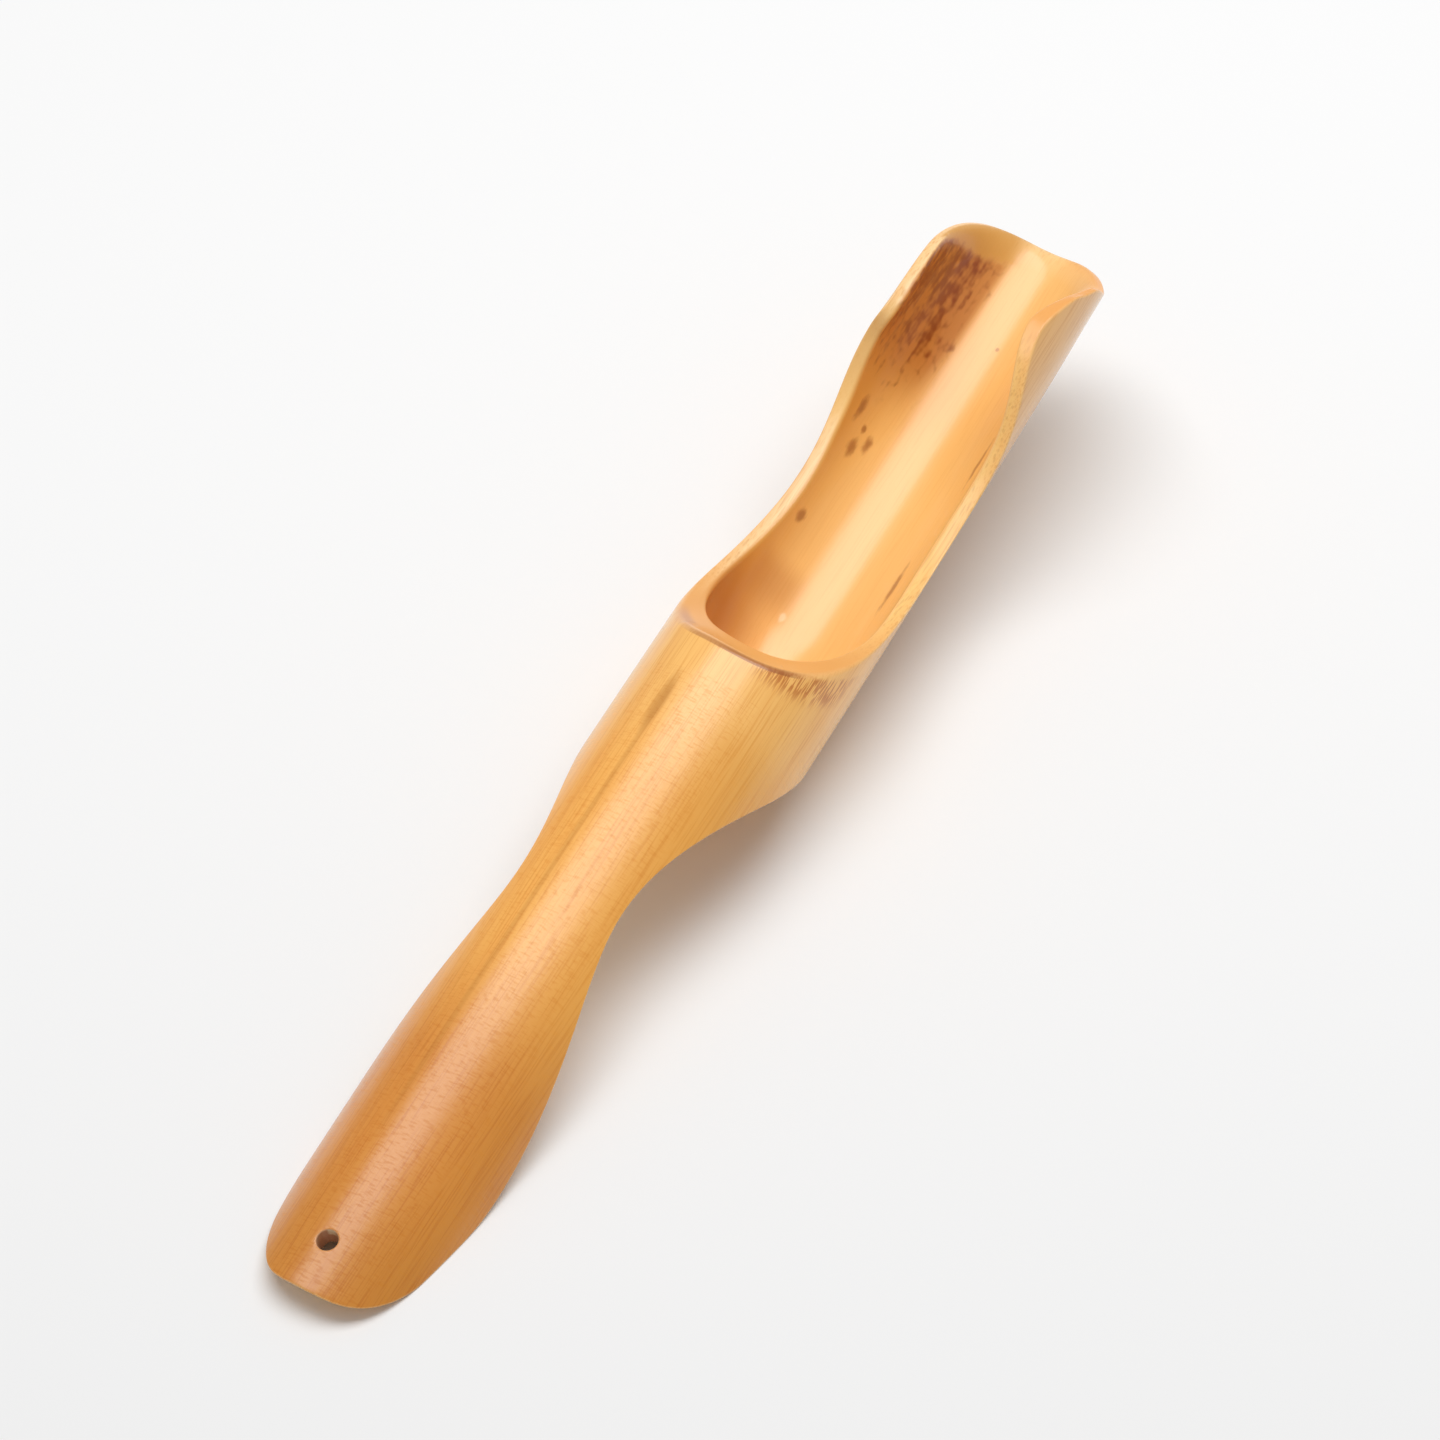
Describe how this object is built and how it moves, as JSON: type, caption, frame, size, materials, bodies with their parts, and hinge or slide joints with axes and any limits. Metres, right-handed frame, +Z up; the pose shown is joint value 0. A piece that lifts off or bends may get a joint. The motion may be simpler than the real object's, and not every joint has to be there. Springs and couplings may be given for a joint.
{
  "type": "bamboo tea scoop",
  "caption": "Bamboo culm carved into a tea scoop: an open trough ahead of a closed node, and an arched, waisted handle with a hanging hole near its tip.",
  "frame": {"origin": "on the table below the middle of the part's bounding box, with the scoop lying at rest", "axes": "+X along the scoop towards its mouth, +Y to its left, +Z up from the table; the culm's axis rises towards the mouth"},
  "size_m": [0.1978, 0.027, 0.0342],
  "materials": {
    "trough_bamboo": "carbonised bamboo under clear gloss lacquer",
    "node_bamboo": "carbonised bamboo under clear gloss lacquer, sanded through at the node",
    "septum_bamboo": "carbonised bamboo, thinly lacquered",
    "handle_bamboo": "carbonised bamboo under clear gloss lacquer"
  },
  "bodies": {
    "root": {"scoop_trough": "trough_bamboo", "node_ring": "node_bamboo", "node_septum": "septum_bamboo", "handle_arch": "handle_bamboo"}
  },
  "joints": []
}
